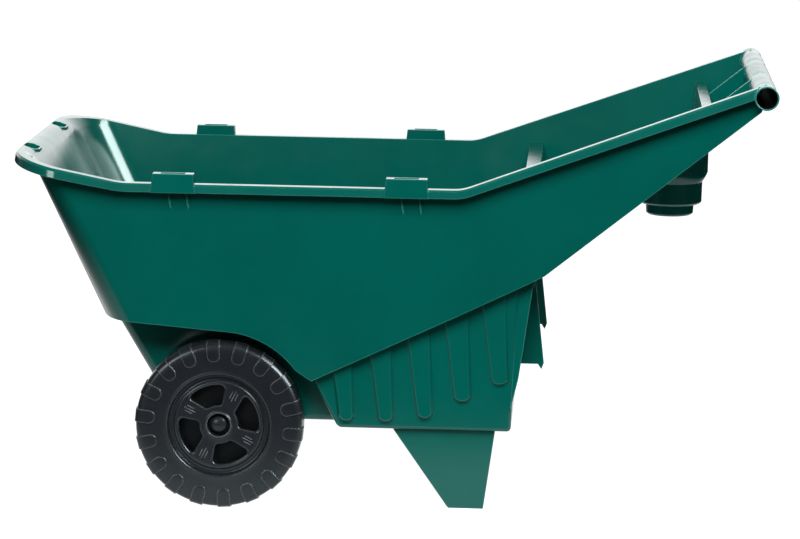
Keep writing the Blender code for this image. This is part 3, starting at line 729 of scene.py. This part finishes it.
def handle_ribs():
    """Two upright plates from the band to the cross-bar."""
    made = []
    start = BAND_REAR_X - 0.0022
    outline = [(start, 0.5560), (HANDLE_X - 0.010, 0.6150),
               (HANDLE_X - 0.006, HANDLE_Z + 0.0160), (start, 0.5970)]
    for y in (-RIB_Y, RIB_Y):
        made.append(soften(prism(outline, y - RIB_HALF, y + RIB_HALF, "Y"), 0.0006, 2))
    return made


def cup_hollow():
    mouth = box((0.30, -0.10, 0.38), (BAND_FRONT_X - 0.003, 0.10, 0.80))
    return common(cup_solid(0.003, 0.72), mouth)


def make_body():
    body = outer_shape()
    union(body, flange(), gussets())
    cut(body, rim_trim(), hollow())
    solids, slots = brackets()
    union(body, *solids)
    union(body, lip_slots(0.0024, -0.0135, -0.0012))
    hump = soften(box((AXLE_X - 0.0155, -0.1975, FLOOR_Z + 0.001),
                      (AXLE_X + 0.0155, 0.1975, 0.1445)), 0.002, 3)
    union(body, hump)
    channel = box((AXLE_X - 0.0120, -0.1915, 0.10), (AXLE_X + 0.0120, 0.1915, 0.1410))
    axle_hole = rod((AXLE_X, AXLE_Z), AXLE_RADIUS + GAP, -0.23, 0.23)
    holes = joined([rod((x, side * BOLT_Y), BOLT_HOLE, 0.10, 0.14, "Z", 24)
                    for side in SIDES for x in BOLT_XS])
    cut(body, channel, axle_hole, holes, *cores(), *slots, lip_slots(0.0, -0.020, 0.020))
    union(body, *fins(), *handle_ribs())
    tube = rod((HANDLE_X, HANDLE_Z), HANDLE_RADIUS - 0.0008, -0.30, 0.30, "Y", 72)
    cut(body, tube, cup_hollow())
    return finished(body, "tub", green, "cart", ["body"])


def make_handle():
    """The cross-bar: three slightly barrelled lengths with a waist at each rib."""
    start, end = -HANDLE_HALF, HANDLE_HALF
    profile = [(HANDLE_BORE, start + 0.0006), (HANDLE_BORE + 0.0006, start),
               (HANDLE_RADIUS - 0.0007, start), (HANDLE_RADIUS - 0.0002, start + 0.0003),
               (HANDLE_RADIUS - 0.0001, start + 0.0010)]
    waists = (-0.2430, -RIB_Y, RIB_Y, 0.2430)
    waist_depth, steps = 0.0020, 15
    for low, high in zip(waists, waists[1:]):
        for k in range(steps):
            t = (k + 0.5) / steps
            profile.append((HANDLE_RADIUS - 0.0001 - waist_depth * abs(2 * t - 1) ** 5,
                            low + (high - low) * t))
    profile += [(HANDLE_RADIUS - 0.0001, end - 0.0010), (HANDLE_RADIUS - 0.0002, end - 0.0003),
                (HANDLE_RADIUS - 0.0007, end), (HANDLE_BORE + 0.0006, end),
                (HANDLE_BORE, end - 0.0006)]
    handle = turned(profile, (HANDLE_X, HANDLE_Z), "handle", 72)

    # The bore's faces take the near-black painted-shade material.
    def in_bore(x, y, z):
        return hypot(x - HANDLE_X, z - HANDLE_Z) < HANDLE_BORE + 0.0002

    return finished(handle, "handle_bar", grip, "cart", [], inner=in_bore)


# ---- legs ------------------------------------------------------------------------------

def make_leg(side):
    """A tapered channel, open towards the middle of the cart."""
    top = FLOOR_Z - LEG_GAP

    def ring(z, inset, depth, lean=0.002):
        share = z / top
        front = LEG_FOOT[0] + (LEG_TOP[0] - LEG_FOOT[0]) * share + inset * 1.25
        rear = LEG_FOOT[1] + (LEG_TOP[1] - LEG_FOOT[1]) * share - inset
        face = LEG_FACE - lean * (1 - share) - inset
        return [(front, side * face, z), (rear, side * face, z),
                (rear, side * (LEG_FACE - depth), z), (front, side * (LEG_FACE - depth), z)]

    leg = soften(loft([ring(0.0, 0.0, 0.036), ring(top, 0.0, LEG_DEPTH)]), 0.0014, 3)
    inner = soften(loft([ring(0.0045, WALL, 0.080), ring(top - 0.004, WALL, 0.080)]), 0.002, 3)
    holes = joined([rod((x, side * BOLT_Y), BOLT_HOLE, 0.10, 0.14, "Z", 24) for x in BOLT_XS])
    cut(leg, inner, holes)
    name = f"leg_{SIDES[side]}"
    return finished(leg, name + "_channel", green, "cart", [name])


# ---- wheels ----------------------------------------------------------------------------

HUB_BORE = 0.0098
HUB_SEAT = 0.010
FACE = 0.0276                  # sidewall under the lugs, from the wheel's middle
LUG_HALF = 0.0102
LUG_RISE = 0.0017


def wheel_section():
    """Half section as (radius, distance outboard of the wheel's middle)."""
    return [
        (HUB_BORE, HUB_SEAT), (0.0160, HUB_SEAT), (0.0165, 0.0150), (0.0168, 0.0235),
        (0.0173, 0.0252), (0.0181, 0.0260), (0.0191, 0.0260), (0.0199, 0.0252),
        (0.0206, 0.0240), (0.0220, 0.0234), (0.0300, 0.0232), (0.0450, 0.0234),
        (0.0600, 0.0240), (0.0645, 0.0240), (0.0662, 0.0234), (0.0672, 0.0222),
        (0.0680, 0.0206), (0.0692, 0.0200), (0.0730, 0.0200), (0.0746, 0.0206),
        (0.0756, 0.0225), (0.0764, 0.0256), (0.0770, 0.0270), (0.0780, 0.0280),
        (0.0795, 0.0284), (0.0812, 0.0280), (0.0830, FACE), (0.0900, FACE),
        (0.1080, FACE), (0.1160, FACE - 0.0004), (0.1200, FACE - 0.0014),
        (0.1228, FACE - 0.0036), (0.1243, FACE - 0.0066), (0.1250, FACE - 0.0110),
        (0.1252, 0.0060), (0.1252, -0.0180), (0.1246, -0.0225), (0.1230, -0.0258),
        (0.1205, -0.0282), (0.1185, -0.0290), (0.1172, -0.0288), (0.1168, -0.0275),
        (0.1200, -0.0120), (0.1200, 0.0150), (0.1180, 0.0195), (0.1140, 0.0212),
        (0.0800, 0.0215), (0.0770, 0.0195), (0.0750, 0.0020), (0.0735, 0.0),
        (0.0215, 0.0), (0.0200, -0.0015), (0.0188, -0.0280), (0.0180, -0.0290),
        (HUB_BORE, -0.0290),
    ]


def wheel_point(turn, radius, across, out):
    return (radius * cos(turn) - across * sin(turn), out,
            radius * sin(turn) + across * cos(turn))


def make_lug(turn):
    """A tread lug that wraps over the shoulder, with a rounded end on the sidewall."""
    path = [(0.0958, FACE), (0.0963, FACE), (0.0972, FACE), (0.0986, FACE), (0.1006, FACE),
            (0.1030, FACE), (0.1060, FACE), (0.1110, FACE), (0.1160, FACE - 0.0004),
            (0.1200, FACE - 0.0014), (0.1228, FACE - 0.0036), (0.1243, FACE - 0.0066),
            (0.1248, FACE - 0.0110), (0.12495, 0.0060)]
    rings = []
    for k, (r, out) in enumerate(path):
        before, after = path[max(k - 1, 0)], path[min(k + 1, len(path) - 1)]
        along = Vector((after[0] - before[0], after[1] - before[1])).normalized()
        away = Vector((-along[1], along[0]))
        if away[0] + away[1] < 0:
            away = -away
        reach = min(r - path[0][0] + 0.0004, LUG_HALF)
        half = sqrt(LUG_HALF ** 2 - (LUG_HALF - reach) ** 2)
        rise = LUG_RISE * min(1.0, 0.35 + 0.65 * k / 3)
        edge = min(0.0011, half * 0.4)
        shape = [(-half, -0.0020), (-half, rise - 0.0010), (-half + edge * 0.3, rise - 0.0003),
                 (-half + edge, rise), (half - edge, rise), (half - edge * 0.3, rise - 0.0003),
                 (half, rise - 0.0010), (half, -0.0020)]
        rings.append([wheel_point(turn, r + away[0] * up, across, out + away[1] * up)
                      for across, up in shape])
    return loft(rings)


def rounded_square(across, up, steps=5):
    """Points round a square from -1 to 1 whose corners are rounded by those shares."""
    points = []
    for cx, cy, start in ((1, 1, 0), (-1, 1, 1), (-1, -1, 2), (1, -1, 3)):
        for k in range(steps + 1):
            a = pi / 2 * (start + k / steps)
            points.append((cx * (1 - across) + across * cos(a), cy * (1 - up) + up * sin(a)))
        if start in (0, 2):
            reach = 1 - across
            points += [(cx * reach * (1 - 2 * j / 7), cy) for j in range(1, 7)]
    return points


def make_window(middle):
    """A kidney-shaped pocket in the wheel's disc, with rounded corners and edges."""
    rings = []
    for out, grow in ((0.0045, 0.0), (0.0205, 0.0), (0.0217, 0.0002), (0.0226, 0.0007),
                      (0.0233, 0.0015), (0.0238, 0.0026), (0.0242, 0.0040), (0.0400, 0.0040)):
        ring = []
        for u, v in rounded_square(0.30, 0.46):
            r = 0.0448 + v * (0.0152 + grow)
            half = radians(29.5 - 5.5 * max(0.0, 1.0 - (r - 0.0296) / 0.030)) + grow / r
            angle = middle + u * half + 0.045 * v
            ring.append((r * cos(angle), out, r * sin(angle)))
        rings.append(ring)
    return loft(rings)


def make_ridges(turn):
    """Fine ridges across a spoke."""
    made = []
    for offset, low, high in ((-0.0042, 0.0440, 0.0560), (0.0, 0.0400, 0.0585),
                              (0.0042, 0.0430, 0.0550)):
        rings = []
        for r, size in ((low, 0.0), (low + 0.0012, 1.0), (high - 0.0012, 1.0), (high, 0.0)):
            w, h = 0.0004 + 0.0005 * size, 0.0002 + 0.0007 * size
            base = 0.0236
            shape = [(-w, -0.001), (-w * 0.7, h * 0.8), (0.0, h), (w * 0.7, h * 0.8), (w, -0.001)]
            rings.append([wheel_point(turn, r, offset + across, base + up)
                          for across, up in shape])
        made.append(loft(rings))
    return made


def make_wheel(side):
    """One moulded wheel: a turned body with tread lugs, spoke ridges, ribs and pockets."""
    wheel = turned(wheel_section(), (0, 0), "wheel", 144)
    extras = [make_lug(2 * pi * (k - LUG_TURN) / LUGS) for k in range(LUGS)]
    for k in range(4):
        extras += make_ridges(radians(SPOKE_TURN + 90 * k))
    union(wheel, joined(extras))
    ribs = []
    for k in range(4):
        turn = radians(SPOKE_TURN + 90 * k)
        outline = [(a * cos(turn) - b * sin(turn), a * sin(turn) + b * cos(turn))
                   for a, b in ((0.018, -0.0015), (0.121, -0.0015), (0.121, 0.0015),
                                (0.018, 0.0015))]
        ribs.append(prism(outline, -0.0200, 0.0180, "Y"))
    union(wheel, joined(ribs))
    cut(wheel, joined([make_window(radians(WINDOW_TURN + 90 * k)) for k in range(4)]))
    place = Matrix.Translation((AXLE_X, side * WHEEL_Y, AXLE_Z)) @ Matrix.Diagonal((1, side, 1, 1))
    wheel.data.transform(place)
    if side < 0:
        wheel.data.flip_normals()
    name = f"wheel_{SIDES[side]}"

    # The pockets' floors and walls take the near-black painted-shade material.
    def in_pocket(x, y, z):
        return (0.0035 < abs(y) - WHEEL_Y < 0.0212
                and 0.0275 < hypot(x - AXLE_X, z - AXLE_Z) < 0.0625)

    return finished(wheel, name + "_moulding", black, name + "_body", [name],
                    inner=in_pocket)


def make_cap(side):
    """A domed push-on cap over the end of the axle."""
    start = WHEEL_Y + HUB_SEAT + 2 * GAP + 0.0015
    dome = [(CAP_RADIUS * cos(a), start + 0.0062 + 0.0063 * sin(a))
            for a in (pi / 2 * k / 12 for k in range(12))]
    profile = [(AXLE_RADIUS + GAP, start), (CAP_RADIUS - 0.0006, start),
               (CAP_RADIUS, start + 0.0006)]
    profile += dome + [(0.0012, start + 0.0125), (0.0012, start + 0.0110),
                       (AXLE_RADIUS + GAP, start + 0.0102)]
    cap = turned([(r, side * y) for r, y in profile], (AXLE_X, AXLE_Z), "cap", 48)
    name = f"axle_cap_{SIDES[side]}"
    return finished(cap, name + "_dome", domed, "cart", [name])


# ---- building --------------------------------------------------------------------------

make_body()
make_handle()
for side in SIDES:
    make_leg(side)
    make_wheel(side)
    make_cap(side)

for name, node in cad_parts.items():
    if node.hide_render:
        continue
    metal = name.startswith(("axle", "washer", "leg_bolt", "leg_nut"))
    node.data.materials.clear()
    node.data.materials.append(steel if metal else black)
    edges = node.modifiers.new("edges", "BEVEL")
    edges.width = 0.0003
    edges.segments = 2
    edges.angle_limit = radians(40)


# ---- studio ----------------------------------------------------------------------------

def floor_disc(name, height):
    """A wide flat disc with an emissive matt material, and that material's shader."""
    bm = bmesh.new()
    bmesh.ops.create_circle(bm, cap_ends=True, radius=60.0, segments=96)
    floor = object_from(bm, name)
    floor.location.z = height
    shader = Shader("studio_" + name)
    shader.set(Roughness=0.9, Specular_IOR_Level=0.0, Emission_Color=(1, 1, 1, 1))
    floor.data.materials.append(shader.material)
    return floor, shader


def make_floor():
    """A plain pale floor for the camera, and just below it one whose lit patch lights the cart.

    The patch lies round and behind the cart, so that its sides don't mirror a bright floor.
    """
    floor, shader = floor_disc("floor", 0.0)
    shader.set(Emission_Strength=FLOOR_GLOW)
    grain = shader.noise(3.0, 3.0, 0.5)
    shader.link(shader.mixed(shader.ramp(grain, 0.0, 1.0), (0.28, 0.28, 0.28), (0.32, 0.32, 0.32)),
                shader.principled.inputs["Base Color"])
    floor.visible_diffuse = False
    floor.visible_glossy = False

    table, shader = floor_disc("light_table", -0.002)
    table.visible_camera = False
    table.visible_shadow = False
    split = shader.node("ShaderNodeSeparateXYZ")
    shader.link(shader.node("ShaderNodeTexCoord").outputs["Object"], split.inputs[0])

    def band(across, along, start, end):
        """Rises from 0 to 1 as across * x + along * y goes from start to end."""
        x = shader.node("ShaderNodeMath", operation="MULTIPLY", in_1=across)
        shader.link(split.outputs["X"], x.inputs[0])
        total = shader.node("ShaderNodeMath", operation="MULTIPLY_ADD", in_1=along)
        shader.link(split.outputs["Y"], total.inputs[0])
        shader.link(x.outputs[0], total.inputs[2])
        result = shader.ramp(total.outputs[0], 0.0, 1.0, start, end)
        result.node.interpolation_type = "SMOOTHSTEP"
        return result

    def product(first, second):
        made = shader.node("ShaderNodeMath", operation="MULTIPLY")
        shader.link(first, made.inputs[0])
        shader.link(second, made.inputs[1])
        return made.outputs[0]

    lit = product(band(0.0, 1.0, -0.78, -0.46),
                  product(band(1.0, 0.167, -1.15, -0.74), band(-1.0, 0.061, -1.15, -0.74)))
    shader.link(shader.ramp(lit, 0.0, FLOOR_GLOW, 0.0, 1.0),
                shader.principled.inputs["Emission Strength"])
    pale = shader.mixed(lit, (0.04, 0.04, 0.04), (0.30, 0.30, 0.30))
    shader.link(pale, shader.principled.inputs["Base Color"])


def make_world():
    """Soft white surroundings: bright behind the cart, dim in front of it."""
    world = bpy.data.worlds.new("studio")
    world.use_nodes = True
    bpy.context.scene.world = world
    tree = world.node_tree
    background = tree.nodes["Background"]
    place = tree.nodes.new("ShaderNodeTexCoord")
    split = tree.nodes.new("ShaderNodeSeparateXYZ")
    tree.links.new(place.outputs["Generated"], split.inputs[0])
    back = tree.nodes.new("ShaderNodeMapRange")
    back.interpolation_type = "SMOOTHSTEP"
    for key, value in (("From Min", 0.48), ("From Max", 0.97), ("To Min", 0.10),
                       ("To Max", 1.9)):
        back.inputs[key].default_value = value
    tree.links.new(split.outputs["Y"], back.inputs["Value"])
    tree.links.new(back.outputs["Result"], background.inputs["Strength"])
    background.inputs["Color"].default_value = (1, 1, 1, 1)


def softbox(name, place, aim, size, power, glint=False):
    """A rectangular lamp: a soft one that only shades, or a white card's bright reflection."""
    light = bpy.data.lights.new(name, "AREA")
    light.shape = "RECTANGLE"
    light.size, light.size_y = size
    light.energy = power
    lamp = bpy.data.objects.new(name, light)
    lamp.location = place
    lamp.rotation_euler = (Vector(aim) - Vector(place)).to_track_quat("-Z", "Y").to_euler()
    lamp.visible_diffuse = not glint
    lamp.visible_glossy = glint
    bpy.context.scene.collection.objects.link(lamp)


def make_camera():
    """A long lens nearly square on to the cart's near side, looking slightly down."""
    yaw, pitch, roll = -0.0530846, 0.1632110, 0.0157707
    place = (0.2887020, -5.3742524, 1.2100393)
    ahead = Vector((sin(yaw) * cos(pitch), cos(yaw) * cos(pitch), -sin(pitch)))
    level = Vector((cos(yaw), -sin(yaw), 0.0))
    up = level.cross(ahead)
    right = level * cos(roll) + up * sin(roll)
    top = up * cos(roll) - level * sin(roll)
    data = bpy.data.cameras.new("camera")
    data.sensor_width = 36.0
    data.lens = 157.547
    camera = bpy.data.objects.new("camera", data)
    camera.matrix_world = Matrix((
        (right.x, top.x, -ahead.x, place[0]), (right.y, top.y, -ahead.y, place[1]),
        (right.z, top.z, -ahead.z, place[2]), (0, 0, 0, 1)))
    bpy.context.scene.collection.objects.link(camera)
    bpy.context.scene.camera = camera


make_floor()
make_world()
softbox("front_top", (0.10, -2.25, 2.30), (0.0, -0.10, 0.30), (1.6, 1.5), 150.0)
softbox("card_right", (1.80, -1.00, 1.70), (-0.30, 0.20, 0.45), (2.2, 0.9), 185.0, glint=True)
softbox("card_left", (-1.75, -3.02, 1.05), (-0.50, -0.30, 0.49), (1.1, 0.6), 28.0, glint=True)
make_camera()
bpy.context.scene.view_settings.view_transform = "Standard"
